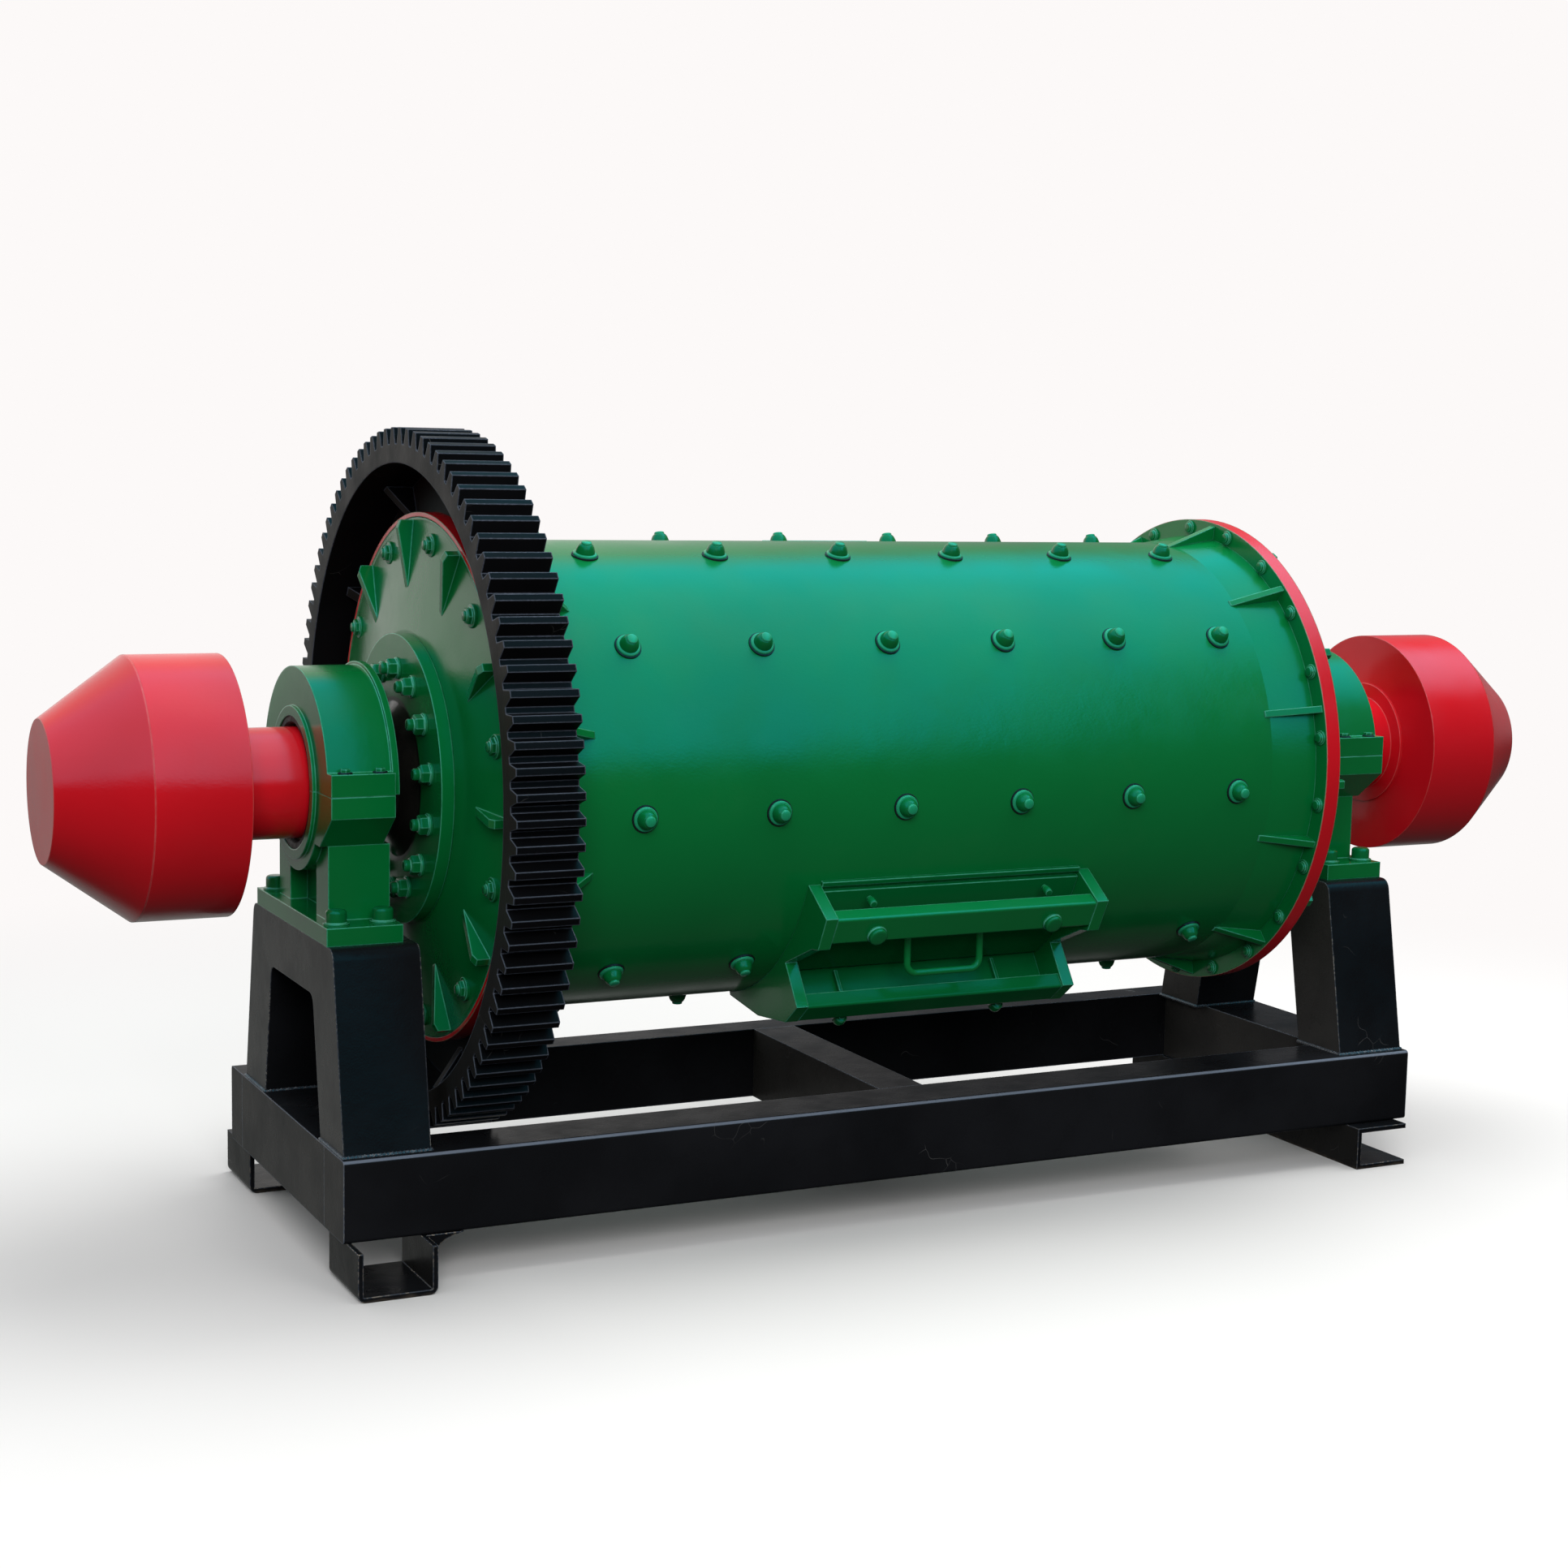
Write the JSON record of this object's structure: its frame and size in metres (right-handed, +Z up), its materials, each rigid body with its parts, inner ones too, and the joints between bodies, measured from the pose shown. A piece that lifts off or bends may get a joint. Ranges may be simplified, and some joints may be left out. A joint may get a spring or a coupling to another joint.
{
  "type": "ball mill",
  "caption": "Batch ball mill: a horizontal green drum with a toothed ring, trunnion bearings on portal pedestals, end feeders and a black base frame.",
  "frame": {"origin": "on the floor, under the middle of the whole mill", "axes": "+X along the drum's axis, from the toothed ring's end to the plain end; -Y is the manhole side; +Z up"},
  "size_m": [3.34, 1.344, 1.5618],
  "materials": {
    "green_enamel": "gloss green enamel",
    "red_enamel": "gloss red enamel",
    "black_enamel": "semi-gloss black paint",
    "gear_black": "satin black paint",
    "bush_bronze": "oiled bronze"
  },
  "bodies": {
    "frame": {"front_beam": "black_enamel", "rear_beam": "black_enamel", "left_end_beam": "black_enamel", "right_end_beam": "black_enamel", "centre_cross_beam": "black_enamel", "foot_channel_right": "black_enamel", "foot_front_left": "black_enamel", "foot_rear_left": "black_enamel", "pedestal_left": "black_enamel", "bearing_base_left": "green_enamel", "bearing_cap_left": "green_enamel", "bearing_bush_left": "bush_bronze", "pedestal_right": "black_enamel", "bearing_base_right": "green_enamel", "bearing_cap_right": "green_enamel", "bearing_bush_right": "bush_bronze"},
    "drum": {"shell": "green_enamel", "shell_gussets": "green_enamel", "girth_gear": "gear_black", "girth_gear_web": "gear_black", "girth_gear_gussets": "green_enamel", "manhole_plate_left": "green_enamel", "manhole_plate_right": "green_enamel", "manhole_wall_upper": "green_enamel", "manhole_wall_lower": "green_enamel", "manhole_cover": "green_enamel", "manhole_clamp_upper": "green_enamel", "manhole_clamp_lower": "green_enamel", "manhole_handle": "green_enamel", "rear_cover_plate": "green_enamel", "shell_flange_left": "green_enamel", "head_left": "green_enamel", "trunnion_left": "green_enamel", "feeder_neck_left": "red_enamel", "feeder_drum_left": "red_enamel", "feeder_cone_left": "red_enamel", "shell_flange_right": "green_enamel", "head_right": "green_enamel", "trunnion_right": "green_enamel", "feeder_neck_right": "red_enamel", "feeder_drum_right": "red_enamel", "feeder_cone_right": "red_enamel"}
  },
  "joints": [
    {"name": "drum_spin", "type": "hinge", "parent": "frame", "child": "drum", "pos_m": [0, 0, 0.89], "axis": [1, 0, 0], "continuous": true}
  ]
}
